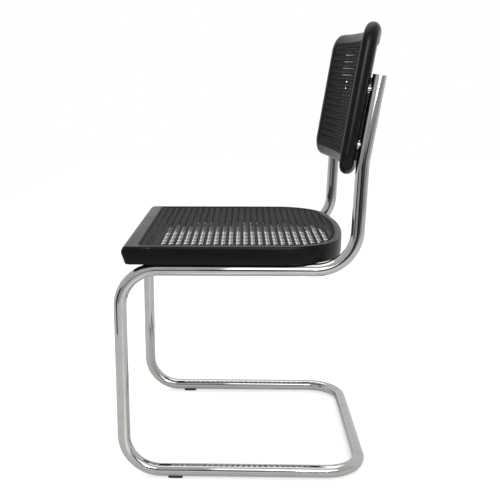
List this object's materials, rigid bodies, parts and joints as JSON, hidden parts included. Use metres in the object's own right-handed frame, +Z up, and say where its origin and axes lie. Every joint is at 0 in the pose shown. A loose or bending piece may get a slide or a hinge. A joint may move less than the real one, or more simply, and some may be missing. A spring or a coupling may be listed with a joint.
{
  "type": "cantilever dining chair",
  "caption": "Cantilever dining chair: a bent chromed steel tube carries a black wooden seat frame and a curved black back, filled with woven cane.",
  "frame": {"origin": "on the floor, under the centre of the chair's bounding box", "axes": "+Z up, the sitter faces -Y, +X is on the sitter's left"},
  "size_m": [0.464, 0.4934, 0.8421],
  "materials": {
    "chrome_tube": "polished",
    "black_wood": "satin black lacquer",
    "black_cane": "stained woven cane",
    "black_spline": "stained reed",
    "raw_wood": "plain beech",
    "glide_plastic": "matte"
  },
  "bodies": {
    "root": {"frame_rear_loop": "chrome_tube", "frame_leg_left": "chrome_tube", "frame_leg_right": "chrome_tube", "frame_upright_left": "chrome_tube", "frame_upright_right": "chrome_tube", "tube_caps": "chrome_tube", "seat_front_rail": "black_wood", "seat_bent_rim": "black_wood", "seat_spline": "black_spline", "seat_cane": "black_cane", "seat_tenons": "raw_wood", "back_top_rail": "black_wood", "back_bottom_rail": "black_wood", "back_left_stile": "black_wood", "back_right_stile": "black_wood", "back_spline": "black_spline", "back_cane": "black_cane", "back_tenons": "raw_wood", "back_spacers": "chrome_tube", "glides_front": "glide_plastic", "glides_rear": "glide_plastic"}
  },
  "joints": []
}
